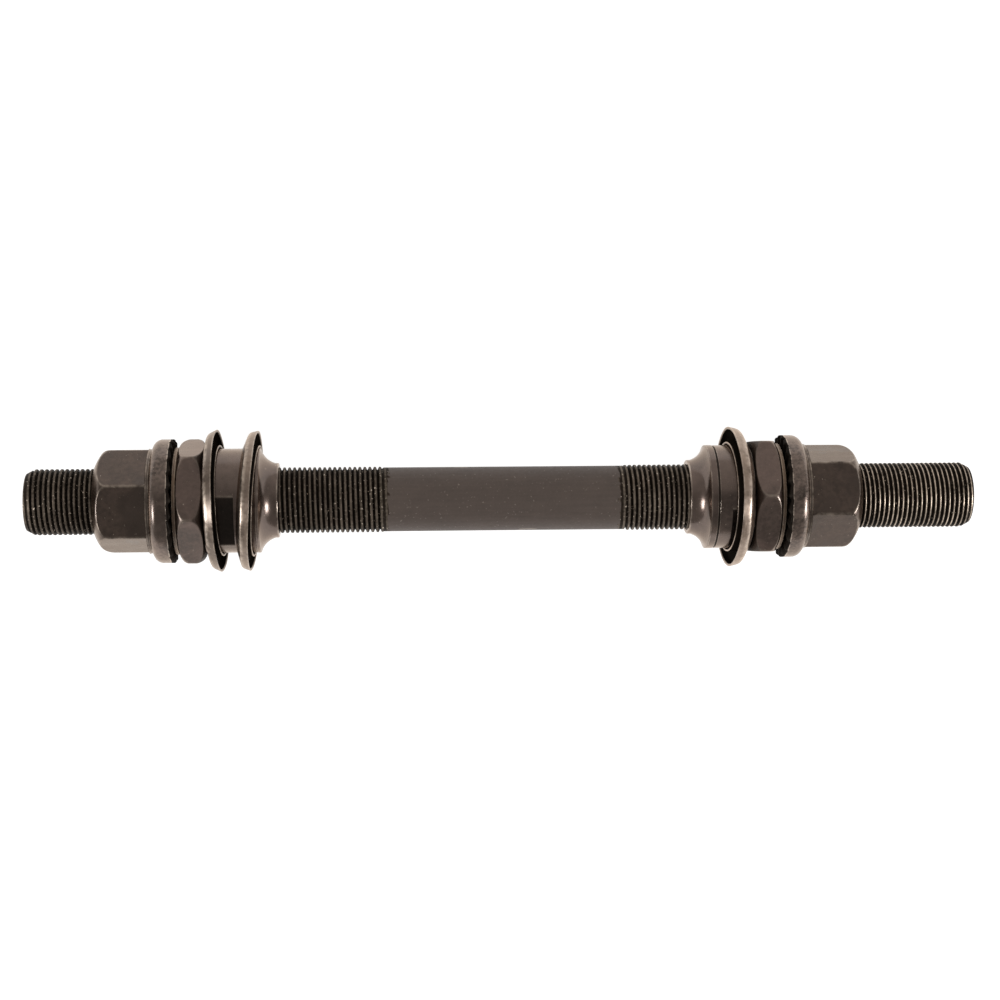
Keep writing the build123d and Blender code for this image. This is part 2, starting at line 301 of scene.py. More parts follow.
class Finishes(bpy.types.PropertyGroup):
    """Colours of the oxide finish, its wear and dirt, and the painted shade and highlights laid
    over it
    """
    thread: colour("Thread", "Thread troughs", (0.020, 0.0155, 0.012))
    # Bright crest colour: worn metal on the thread crests, also standing in for painted highlights
    # on them
    crest: colour("Crest", "Worn thread crests", (0.80, 0.66, 0.53))
    bar: colour("Bar", "Plain middle of the axle", (0.090, 0.067, 0.056))
    nut: colour("Nut", "Axle nuts", (0.066, 0.045, 0.035))
    locknut: colour("Locknut", "Locknuts", (0.125, 0.088, 0.074))
    washer: colour("Washer", "Serrated washers", (0.135, 0.101, 0.085))
    ring: colour("Thin washer", "Thin washers", (0.15, 0.098, 0.062))
    cap: colour("Cap", "Dust caps", (0.220, 0.168, 0.134))
    cone: colour("Cone", "Bearing cones", (0.120, 0.087, 0.073))
    stain: colour("Stain", "Brown oily stains", (0.030, 0.016, 0.009))
    # Bright metal: worn edges, scratches and specks, and also the painted highlight along the
    # serrated washers' rims
    worn: colour("Worn edge", "Bright metal on worn edges", (0.78, 0.67, 0.56))
    # Darkest colour: dirt inside the caps, and painted shade in hollows, gaps, grooves and on the
    # cones' flats
    soot: colour("Soot", "Grime inside hollows", (0.006, 0.005, 0.004))


class StageSizes(bpy.types.PropertyGroup):
    """Camera and floor"""
    camera_distance: length("Camera distance", "From the camera to the axle", 425 * MM)
    camera_offset: length("Camera offset", "The camera's place along the axle", -23.6 * MM)
    aim_along: length("Aim along", "Point looked at, along the axle", -0.61 * MM)
    aim_across: length("Aim across", "Point looked at, across the axle", -0.34 * MM)
    roll: angle("Camera roll", "Turn of the camera about its view", -0.485)
    lens: bpy.props.FloatProperty(name="Lens", description="Focal length in millimetres",
                                  default=72.0)
    floor_reach: length("Floor reach", "Half the width of the floor", 3.0)


class HubAxleSettings(bpy.types.PropertyGroup):
    """All sizes and colours of the hub axle"""
    axle: bpy.props.PointerProperty(type=AxleSizes)
    cone: bpy.props.PointerProperty(type=ConeSizes)
    cap: bpy.props.PointerProperty(type=CapSizes)
    locknut: bpy.props.PointerProperty(type=LocknutSizes)
    washer: bpy.props.PointerProperty(type=WasherSizes)
    nut: bpy.props.PointerProperty(type=NutSizes)
    finish: bpy.props.PointerProperty(type=Finishes)
    stage: bpy.props.PointerProperty(type=StageSizes)


# Numbers in node trees

class Term:
    """A number in a node tree that takes part in sums like a plain one."""

    def __init__(self, tree, socket):
        self.tree = tree
        self.socket = socket

    def worked(self, operation, *others):
        """Result of a math node on this number and others."""
        node = added(self.tree, "ShaderNodeMath", enumerate((self, *others)), operation=operation)
        return Term(self.tree, node.outputs[0])

    def __add__(self, other):
        return self.worked("ADD", other)

    def __sub__(self, other):
        return self.worked("SUBTRACT", other)

    def __mul__(self, other):
        return self.worked("MULTIPLY", other)

    def __truediv__(self, other):
        return self.worked("DIVIDE", other)

    def below(self, whole):
        """The whole less this number."""
        return self.worked("MULTIPLY_ADD", -1.0, whole)

    def between(self, low, high):
        """0 at low, 1 at high, and straight between them."""
        node = added(self.tree, "ShaderNodeMapRange", enumerate((self, low, high)))
        return Term(self.tree, node.outputs[0])


def added(tree, kind, inputs=(), **settings):
    """New node with settings and inputs."""
    node = tree.nodes.new(kind)
    for label, value in settings.items():
        setattr(node, label, value)
    fill(node, inputs)
    return node


def fill(node, inputs):
    """Fill a node's inputs, each with a plain value, a term or another node's output."""
    for slot, value in dict(inputs).items():
        source = value.socket if isinstance(value, Term) else value
        if isinstance(source, bpy.types.NodeSocket):
            node.id_data.links.new(source, node.inputs[slot])
        else:
            node.inputs[slot].default_value = source


def parts_of(tree, vector):
    """The three coordinates of a vector."""
    return [Term(tree, slot) for slot in added(tree, "ShaderNodeSeparateXYZ", {0: vector}).outputs]


def seen_directly(tree):
    """1 for rays from the camera and for mirrored and clear rays, otherwise 0."""
    path = added(tree, "ShaderNodeLightPath")
    rays = [Term(tree, path.outputs[label]) for label in
            ("Is Camera Ray", "Is Glossy Ray", "Is Transmission Ray")]
    return rays[0].worked("MAXIMUM", rays[1]).worked("MAXIMUM", rays[2])


# Shapes

def side_of(node):
    """-1 for a node of the left end and 1 for one of the right end."""
    return SIDES[node.split("_")[0]]


def span(node):
    """Inner and outer place of a CAD node along the axle."""
    low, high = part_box(node)
    return (low[0], high[0]) if node.startswith("right") else (-high[0], -low[0])


def bow(start, end, bend, steps, cut=False, hollow=False):
    """Corners on an arc from start to end that bulges outward or is hollow."""
    start = Vector(start)
    end = Vector(end)
    chord = end - start
    offset = Vector((-chord.y, chord.x)).normalized() * (1 if hollow else -1)
    centre = (start + end) / 2 + offset * sqrt(bend**2 - (chord.length / 2) ** 2)
    first = Vector((1, 0)).angle_signed(start - centre)
    sweep = (start - centre).angle_signed(end - centre)
    points = [centre + Vector((cos(turn), -sin(turn))) * bend
              for turn in (first + sweep * step / steps for step in range(steps + 1))]
    return [Corner(point.x, point.y, 0.0, cut) for point in points]


def rounded(corners):
    """Rows of a closed section whose corners are rounded and marked as worn."""
    rows = []
    for index, corner in enumerate(corners):
        here = Vector(corner[:2])
        before = Vector(corners[index - 1][:2]) - here
        after = Vector(corners[(index + 1) % len(corners)][:2]) - here
        if corner.rounding == 0:
            rows.append(Row(*here, 0.0, corner.cut, corner.soot))
            continue
        arms = [(arm.normalized(), arm.length) for arm in (before, after)]
        start, end = (here + arm * min(corner.rounding, reach * ROUNDING_SHARE)
                      for arm, reach in arms)
        rests = [here + arm * min(corner.rounding * SUPPORT_REACH, reach * SUPPORT_SHARE)
                 for arm, reach in arms]
        rows.append(Row(*rests[0], 0.0, corner.cut, corner.soot))
        for step in range(ROUNDING_STEPS + 1):
            part = step / ROUNDING_STEPS
            point = start.lerp(here, part).lerp(here.lerp(end, part), part)
            rows.append(Row(*point, 1.0, corner.cut, corner.soot))
        rows.append(Row(*rests[1], 0.0, corner.cut, corner.soot))
    return rows


def even_turns(count, corners=()):
    """Turns around the axle, closer together at the corners."""
    turns = [tau * step / count for step in range(count)]
    for corner in corners:
        turns += [(corner + radians(lean)) % tau for lean in CORNER_LEANS]
    return sorted(turns)


def softer_least(first, second, softness):
    """Lesser of two lengths, with a soft change from one to the other."""
    meeting = max(softness - abs(first - second), 0.0) / softness
    return min(first, second) - meeting**2 * softness / 4


def flats_limit(across, count, first_corner, softness, darkening=0.0):
    """Function that cuts a radius back to flats, marks their edges as worn and may paint shade on
    the flats.
    """
    step = tau / count

    def flat_radius(lean):
        return across / 2 / max(cos(lean), LEAST_COSINE)

    def limit(turn, radius, worn, soot):
        offset = (turn - first_corner) % step
        near = flat_radius(offset - step / 2)
        beside = flat_radius(min(offset + step / 2, step * 1.5 - offset))
        flat = softer_least(near, beside, softness)
        corner_wear = max(1 - abs(near - beside) / WEAR_WIDTH, 0.0) if radius > flat else 0.0
        rim_wear = max(1 - abs(radius - flat) / WEAR_WIDTH, 0.0)
        kept_wear = worn if radius < flat else 0.0
        cut = min(max((radius - flat) / WEAR_WIDTH, 0.0), 1.0)
        return (softer_least(flat, radius, softness), max(kept_wear, corner_wear, rim_wear),
                soot * (1 - cut) + darkening * cut)

    return limit


def ring_mesh(name, side, rows, turns, limit=None, shift=None):
    """Closed ring made by carrying the rows of a section round the axle."""
    points = []
    worn = []
    soot = []
    for row in rows:
        for turn in turns:
            radius, wear, darkening = row.radius, row.worn, row.soot
            if row.cut and limit:
                radius, wear, darkening = limit(turn, radius, wear, darkening)
            place = row.place + (shift(turn, row) if shift else 0.0)
            points.append((side * place, radius * sin(turn), radius * cos(turn)))
            worn.append(wear)
            soot.append(darkening)
    count = len(turns)
    faces = []
    for row in range(len(rows)):
        start = row * count
        following = (row + 1) % len(rows) * count
        for step in range(count):
            after = (step + 1) % count
            faces.append((start + step, start + after, following + after, following + step))
    mesh = bpy.data.meshes.new(name)
    mesh.from_pydata(points, [], faces)
    for label, values in (("worn", worn), ("soot", soot)):
        mesh.attributes.new(label, "FLOAT", "POINT").data.foreach_set("value", values)
    clean(mesh)
    return mesh


def clean(mesh):
    """Merge doubled points, close open ends, turn the faces outward and mark sharp edges."""
    work = bmesh.new()
    work.from_mesh(mesh)
    bmesh.ops.remove_doubles(work, verts=work.verts, dist=MERGE_REACH)
    bmesh.ops.dissolve_degenerate(work, edges=work.edges, dist=THIN_FACE_REACH)
    border = [edge for edge in work.edges if edge.is_boundary]
    if border:
        for edge in border:
            edge.smooth = False
        bmesh.ops.holes_fill(work, edges=border, sides=0)
    bmesh.ops.recalc_face_normals(work, faces=work.faces)
    for edge in work.edges:
        if edge.is_manifold and edge.calc_face_angle(0.0) > SHARP_FROM:
            edge.smooth = False
    for face in work.faces:
        face.smooth = True
    work.to_mesh(mesh)
    work.free()


def place_piece(mesh, node, material, body=None):
    """Put a finished mesh in the scene in place of its CAD node."""
    piece = bpy.data.objects.new(f"{node}_dressed", mesh)
    bpy.context.scene.collection.objects.link(piece)
    if not mesh.materials:
        mesh.materials.append(material)
    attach(piece, body or node)
    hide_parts(node)
    next(part["material_slot"] for part in frame["record"]["subparts"]
                        if part["node"] == node)


def add_ring(node, corners, turns, material, limit=None):
    """Put a ring in the scene in place of its CAD node."""
    mesh = ring_mesh(f"{node}_dressed", side_of(node), rounded(corners), turns, limit)
    place_piece(mesh, node, material)


def add_hexagon(node, corners, sizes, material):
    """Put a nut in the scene: a ring whose marked rows are cut back to six flats."""
    turn = getattr(sizes, f"{node.split('_')[0]}_turn")
    ends = [turn + tau * step / 6 for step in range(6)]
    limit = flats_limit(sizes.across_flats, 6, turn, sizes.soft_edge)
    add_ring(node, corners, even_turns(RING_TURNS, ends), material, limit)


def evaluated_mesh(name, mesh, tree, values):
    """Plain mesh that a geometry tree makes of a mesh with the given inputs."""
    carrier = bpy.data.objects.new(name, mesh)
    bpy.context.scene.collection.objects.link(carrier)
    modifier = carrier.modifiers.new(name, "NODES")
    modifier.node_group = tree
    sockets = {item.name: item.identifier for item in tree.interface.items_tree
               if item.in_out == "INPUT"}
    for label, value in values.items():
        modifier[sockets[label]] = value
    graph = bpy.context.evaluated_depsgraph_get()
    result = bpy.data.meshes.new_from_object(carrier.evaluated_get(graph))
    bpy.data.objects.remove(carrier)
    return result


# Geometry trees

def tree_with_inputs(name, floats, integers):
    """Geometry tree and a term for each of its inputs."""
    inputs = dict.fromkeys(floats, "Float") | dict.fromkeys(integers, "Int")
    inputs["Material"] = "Material"
    tree = bpy.data.node_groups.new(name, "GeometryNodeTree")
    tree.interface.new_socket("Mesh", in_out="INPUT", socket_type="NodeSocketGeometry")
    for label, kind in inputs.items():
        tree.interface.new_socket(label, in_out="INPUT", socket_type=f"NodeSocket{kind}")
    tree.interface.new_socket("Mesh", in_out="OUTPUT", socket_type="NodeSocketGeometry")
    entry = added(tree, "NodeGroupInput")
    return tree, {label: Term(tree, entry.outputs[label]) for label in ("Mesh", *inputs)}


def stored(tree, mesh, label, value):
    """Mesh with a named value stored on its points."""
    inputs = {"Geometry": mesh, "Name": label, "Value": value}
    return added(tree, "GeometryNodeStoreNamedAttribute", inputs).outputs["Geometry"]


def moved(tree, mesh, parts):
    """Mesh whose points stand at the given three coordinates."""
    vector = added(tree, "ShaderNodeCombineXYZ", enumerate(parts)).outputs[0]
    inputs = {"Geometry": mesh, "Position": vector}
    return added(tree, "GeometryNodeSetPosition", inputs).outputs["Geometry"]


def close_tree(tree, mesh, material):
    """End a tree in real meshes that wear the given material."""
    real = added(tree, "GeometryNodeRealizeInstances", {"Geometry": mesh}).outputs[0]
    worn = added(tree, "GeometryNodeSetMaterial", {"Geometry": real, "Material": material})
    added(tree, "NodeGroupOutput", {"Mesh": worn.outputs["Geometry"]})


def point_parts(tree):
    """The three coordinates of each point."""
    return parts_of(tree, added(tree, "GeometryNodeInputPosition").outputs[0])


def thread_tree():
    """Tree that turns a grid into a length of bar with a right-hand thread."""
    tree, given = tree_with_inputs(
        "Threaded length",
        (*BAR_SIZES, "Near", "Far", "First crest", "Pitch", "Plain end", "Trough share",
         "Land share"),
        ("Rows", "Columns", "Rows per turn"))
    grid = added(tree, "GeometryNodeMeshGrid",
                 enumerate((1.0, 1.0, given["Columns"], given["Rows"])))
    across, along, _ = point_parts(tree)
    turn = across + 0.5
    row = ((along + 0.5) * (given["Rows"] - 1)).worked("ROUND")
    raw = given["First crest"] + (row / given["Rows per turn"] + turn) * given["Pitch"]
    place = raw.worked("MAXIMUM", given["Near"]).worked("MINIMUM", given["Far"])
    phase = ((place - given["First crest"]) / given["Pitch"] - turn).worked("FRACT")
    land = given["Land share"].below(1.0)
    peak = (phase * 2 - 1).worked("ABSOLUTE").between(given["Trough share"], land)
    distance = place.worked("ABSOLUTE")
    started = ((distance - given["Plain end"]) / given["Pitch"]).between(0.0, RUN_OUT)
    circle = turn * tau
    cosine, sine = circle.worked("COSINE"), circle.worked("SINE")
    spot = added(tree, "ShaderNodeCombineXYZ",
                 enumerate((place, cosine * NICK_RING, sine * NICK_RING))).outputs[0]
    noise = added(tree, "ShaderNodeTexNoise", {"Vector": spot, "Scale": NICK_SCALE, "Detail": 3.0})
    nick = Term(tree, noise.outputs["Fac"]).between(0.62, 0.72) * peak * given["Nick depth"]
    cut = given["Thread depth"] * peak.below(1.0) + nick
    threaded = given["Crest radius"] - cut
    radius = given["Plain radius"] + (threaded - given["Plain radius"]) * started
    tip = (distance - given["Half length"] + given["Tip length"]) / given["Tip length"]
    tip_radius = given["Crest radius"] - tip.between(0.0, 1.0) * given["Tip depth"]
    radius = radius.worked("MINIMUM", tip_radius)
    mesh = moved(tree, grid.outputs["Mesh"], (place, cosine * radius, sine * radius))
    mesh = stored(tree, mesh, "threaded", started)
    weld = added(tree, "GeometryNodeMergeByDistance", {"Geometry": mesh, "Distance": THREAD_WELD})
    close_tree(tree, weld.outputs["Geometry"], given["Material"])
    return tree


def serration_tree():
    """Tree that sinks the gaps between radial teeth into a washer's inner face, paints the gaps
    dark as shade and marks the tooth crests as worn.
    """
    tree, given = tree_with_inputs(
        "Radial serrations", ("Depth", "Lean", "Land", "Side", "Face", "Rim", "Fade"), ("Count",))
    x, y, z = point_parts(tree)
    place = x * given["Side"]
    part = (y.worked("ARCTAN2", z) / tau * given["Count"]).worked("FRACT") * 2 - 1
    falling = (part - given["Lean"]) / (given["Land"] - given["Lean"])
    rising = ((part - given["Lean"]) / (given["Land"] + given["Lean"])) * -1
    depth = falling.worked("MAXIMUM", rising).between(1.0, 0.0)
    reach = (place - given["Face"] - given["Rim"]).between(given["Fade"], 0.0)
    sunk = depth * reach * given["Depth"] * given["Side"]
    mesh = moved(tree, given["Mesh"], (x + sunk, y, z))
    # Tooth crests are marked worn; the sunk gaps get painted shade
    crest = reach * depth.between(0.22, 0.0)
    for label, value in (("worn", crest * 0.6), ("soot", reach * depth)):
        named = added(tree, "GeometryNodeInputNamedAttribute", {"Name": label})
        already = Term(tree, named.outputs["Attribute"])
        mesh = stored(tree, mesh, label, already.worked("MAXIMUM", value))
    close_tree(tree, mesh, given["Material"])
    return tree


# Finishes

class Paint:
    """Nodes of one metal finish, read from object coordinates and the piece's own wear."""

    def __init__(self, name):
        self.material = bpy.data.materials.new(name)
        self.material.use_nodes = True
        self.tree = self.material.node_tree
        self.place = added(self.tree, "ShaderNodeTexCoord").outputs["Object"]

    def noise(self, scale, detail, stretch=None):
        """Noise from 0 to 1; stretch gives a scale for each axis."""
        place = self.place
        if stretch:
            place = added(self.tree, "ShaderNodeMapping",
                          {"Vector": place, "Scale": stretch}).outputs[0]
        inputs = {"Vector": place, "Scale": scale, "Detail": detail}
        return Term(self.tree, added(self.tree, "ShaderNodeTexNoise", inputs).outputs["Fac"])

    def oiled(self, ragged):
        """1 inside the brown oily patches, whose edges a noise makes ragged, otherwise 0."""
        whole = None
        for centre, radius in OIL_PATCHES:
            node = added(self.tree, "ShaderNodeVectorMath", {0: self.place, 1: centre},
                         operation="DISTANCE")
            distance = Term(self.tree, node.outputs["Value"]) / radius
            patch = (distance + (ragged - 0.5) * 0.9).between(1.0, 0.7)
            whole = whole.worked("MAXIMUM", patch) if whole else patch
        return whole

    def stored(self, label):
        """Value kept on the piece's points."""
        node = added(self.tree, "ShaderNodeAttribute", attribute_name=label)
        return Term(self.tree, node.outputs["Fac"])

    def mixed(self, part, *colours):
        """Colour between two others."""
        first, second = (value if isinstance(value, bpy.types.NodeSocket) else (*value, 1.0)
                         for value in colours)
        node = added(self.tree, "ShaderNodeMix", {0: part, 6: first, 7: second}, data_type="RGBA")
        return node.outputs[2]

    def finished(self, height, bump, inputs):
        """Material whose surface a height disturbs and whose shader has the given inputs."""
        bumps = {"Height": height, "Strength": bump, "Distance": BUMP_HEIGHT}
        normal = added(self.tree, "ShaderNodeBump", bumps).outputs[0]
        fill(self.tree.nodes["Principled BSDF"], inputs | {"Normal": normal})
        return self.material


def steel(name, part, strength=1.0):
    """Oiled oxide-dark steel: mottled, stained, with bright worn edges and fine marks, darkened by
    dirt and painted shade where marked, and with painted highlights on marked rows.
    """
    finish = bpy.context.scene.hub_axle.finish
    look = LOOKS[part]
    paint = Paint(name)
    cloud = paint.noise(300.0, 5.0)
    blot = paint.noise(150.0, 3.0)
    fine = paint.noise(look.grain, 3.0)
    specks = paint.noise(2100.0, 2.0).between(0.72, 0.77)
    marks = paint.noise(2600.0, 2.0, RINGED) if look.turned else paint.noise(900.0, 2.0, DRAWN)
    worn = paint.stored("worn")
    soot = paint.stored("soot")
    clear = soot.below(1.0)
    tone = [value * strength for value in getattr(finish, part)]
    dark = [value * (1 - look.mottle) for value in tone]
    pale = [min(value * (1 + look.mottle), 1.0) for value in tone]
    mottling = cloud.between(0.32, 0.68) * 0.55 + fine.between(0.36, 0.64) * 0.45
    dried = blot.between(0.54, 0.64) * look.stains
    stained = dried.worked("MAXIMUM", paint.oiled(cloud) * 0.75) * fine.between(0.25, 0.6)
    # Bright worn edges; on the serrated washers' marked rim row this brightness is a painted
    # highlight
    bright = worn * (cloud + fine * 0.6).between(0.6, 1.05) * look.wear
    base = paint.mixed(mottling, dark, pale)
    base = paint.mixed(stained, base, finish.stain)
    base = paint.mixed(specks * 0.45, base, finish.worn)
    base = paint.mixed(bright, base, finish.worn)
    # Painted shade and dirt: marked hollows, gaps and flats are darkened towards the darkest
    # finish colour
    base = paint.mixed(soot * 0.97, base, finish.soot)
    rough = (fine - 0.5) * 0.18 + (marks - 0.5) * 0.14 + (cloud - 0.5) * 0.2 + look.roughness
    return paint.finished(fine * 0.7 + marks * 0.5 + cloud * 0.4, 0.14, {
        "Base Color": base, "Metallic": clear * 0.8 + 0.1, "Roughness": rough + soot * 0.4,
        "Specular IOR Level": clear * 0.5, "Specular Tint": WARM_SHINE,
        "Coat Weight": clear * (stained * 0.3 + 0.4), "Coat IOR": OIL_IOR,
        "Coat Roughness": (cloud - 0.5) * 0.3 + look.roughness * 0.8,
    })


def thread_steel():
    """Bar: dark thread troughs, worn crests along the helix that are also painted bright as
    highlights, and a matte plain middle.
    """
    finish = bpy.context.scene.hub_axle.finish
    sizes = bpy.context.scene.hub_axle.axle
    paint = Paint("axle_steel")
    cloud = paint.noise(260.0, 6.0)
    fine = paint.noise(1800.0, 3.0)
    specks = paint.noise(1900.0, 2.0).between(0.67, 0.73)
    drawn = paint.noise(1500.0, 2.0, (0.06, 1.0, 1.0))
    scratch = paint.noise(420.0, 2.0, (0.25, 1.0, 1.0)).between(0.72, 0.74)
    threaded = paint.stored("threaded")
    x, y, z = parts_of(paint.tree, paint.place)
    right = x.worked("GREATER_THAN", 0.0)
    outer = x.worked("GREATER_THAN", sizes.right_change)
    pitch = outer * (sizes.right_pitch - sizes.pitch) + sizes.pitch
    start = right * (RIGHT_PHASE - LEFT_PHASE) + outer * (OUTER_PHASE - RIGHT_PHASE) + LEFT_PHASE
    way = (x / pitch - start - z.worked("ARCTAN2", y) / tau).worked("FRACT")
    peak = (way * 2 - 1).worked("ABSOLUTE")
    # Crest stripe: worn metal and a painted highlight, brightest on the right end's outer thread,
    # dimmer on the inner right thread and dimmest on the left thread
    crest = peak.between(outer * 0.2 + 0.5, outer * 0.13 + 0.72) * threaded
    wear = (cloud * 0.7 + fine * 0.6).between(0.35, 0.95)
    crest_wear_and_glint = crest * (outer * 0.74 + right * 0.10 + 0.24) * wear
    streaks = cloud.between(0.25, 0.75) * 0.6 + drawn.between(0.3, 0.7) * 0.4
    plain = paint.mixed(streaks, [value * 0.86 for value in finish.bar],
                        [value * 1.14 for value in finish.bar])
    plain = paint.mixed(scratch * 0.3, plain, finish.worn)
    trough = paint.mixed(fine.between(0.4, 0.7), finish.thread,
                         [value * 1.8 for value in finish.thread])
    base = paint.mixed(threaded, plain, trough)
    base = paint.mixed(crest_wear_and_glint, base, finish.crest)
    base = paint.mixed(specks * (threaded * 0.8 + 0.15), base, finish.worn)
    return paint.finished(fine + cloud * 0.6 + drawn * 0.5, 0.16, {
        "Base Color": base, "Metallic": threaded * 0.1 + 0.5,
        "Roughness": (fine - 0.5) * 0.25 - crest_wear_and_glint * 0.25 + 0.6,
        "Specular IOR Level": threaded.between(0.4, 0.15),
    })


# Operators

class HUBAXLE_OT_axle(bpy.types.Operator):
    """Build the threaded axle"""
    bl_idname = "hub_axle.axle"
    bl_label = "Threaded axle"

    def execute(self, context):
        sizes = context.scene.hub_axle.axle
        tree = thread_tree()
        material = thread_steel()
        meeting = sizes.meeting
        lengths = (
            Stretch(-sizes.half_length, -meeting, sizes.pitch, sizes.left_plain_end, LEFT_PHASE,
                    trough=0.16, land=0.42),
            Stretch(-meeting, meeting, PLAIN_STEP, sizes.half_length, 0.0, trough=0.1, land=0.1),
            Stretch(meeting, sizes.right_change, sizes.pitch, sizes.right_plain_end, RIGHT_PHASE,
                    trough=0.16, land=0.4),
            Stretch(sizes.right_change, sizes.half_length, sizes.right_pitch,
                    sizes.right_plain_end, OUTER_PHASE, trough=0.2, land=0.2),
        )
        work = bmesh.new()
        for stretch in lengths:
            mesh = self.threaded_length(sizes, tree, material, stretch)
            work.from_mesh(mesh)
            bpy.data.meshes.remove(mesh)
        bmesh.ops.remove_doubles(work, verts=work.verts, dist=THREAD_WELD)
        axle = bpy.data.meshes.new("axle_dressed")
        work.to_mesh(axle)
        work.free()
        clean(axle)
        place_piece(axle, "axle", material)
        return {"FINISHED"}

    def threaded_length(self, sizes, tree, material, stretch):
        """One stretch of bar as a plain mesh."""
        pitch = stretch.pitch
        first = (floor(stretch.near / pitch - stretch.phase) - 1 + stretch.phase) * pitch
        values = {label: getattr(sizes, label.lower().replace(" ", "_")) for label in BAR_SIZES}
        values |= {
            "Near": stretch.near, "Far": stretch.far, "First crest": first, "Pitch": pitch,
            "Plain end": stretch.plain_end, "Trough share": stretch.trough,
            "Land share": stretch.land, "Rows per turn": ROWS_PER_TURN, "Columns": THREAD_COLUMNS,
            "Rows": ROWS_PER_TURN * ceil((stretch.far - first) / pitch) + 1, "Material": material,
        }
        return evaluated_mesh("threaded_length", bpy.data.meshes.new("blank"), tree, values)


class HUBAXLE_OT_cones(bpy.types.Operator):
    """Build the two bearing cones"""
    bl_idname = "hub_axle.cones"
    bl_label = "Bearing cones"

    def execute(self, context):
        sizes = context.scene.hub_axle.cone
        material = steel("cone_steel", "cone")
        for word in SIDES:
            tip, outer = span(f"{word}_cone")
            body = sizes.body_radius
            ring = body + sizes.ring_height
            race_end = tip + sizes.lip_length + sizes.race_width
            ring_end = race_end + getattr(sizes, f"{word}_ring_width")
            flat_start = outer - getattr(sizes, f"{word}_flat_length")
            corners = [
                Corner(tip, sizes.bore_radius, FINE),
                Corner(tip, sizes.lip_radius, BROAD),
                *bow((tip + sizes.lip_length, sizes.lip_radius),
                     (race_end - BESIDE, ring - RING_EDGE), sizes.race_bend, 16, hollow=True),
                Corner(race_end + 2 * BESIDE, ring, RING_EDGE),
                Corner(ring_end, ring, RING_EDGE),
                *self.step_down(word, ring_end, body),
                Corner(flat_start - BESIDE, body),
                Corner(flat_start, body),
                Corner(flat_start, body, cut=True),
                Corner(flat_start + BESIDE, body, cut=True),
                Corner(outer, body, SOFT, cut=True),
                Corner(outer, sizes.bore_radius, SOFT),
            ]
            first = getattr(sizes, f"{word}_flat_turn") + pi / 2
            # The spanner flats are painted dark as a reflection of the dark caps beside them
            limit = flats_limit(sizes.across_flats, 2, first, BESIDE, FLAT_PAINTED_DARK)
            add_ring(f"{word}_cone", corners, even_turns(RING_TURNS), material, limit)
        return {"FINISHED"}

    def step_down(self, word, ring_end, body):
        """Step from the ring down to the body, with a fine groove on the right cone."""
        if word == "left":
            return [Corner(ring_end + SOFT, body)]
        bottom = body - GROOVE_DEPTH
        far_wall = ring_end + GROOVE_WIDTH
        # The groove's floor is painted dark, as shade in the crease
        return [Corner(ring_end + BESIDE, bottom, soot=0.8),
                Corner(far_wall, bottom, soot=0.8),
                Corner(far_wall + GROOVE_SLOPE, body, BESIDE)]


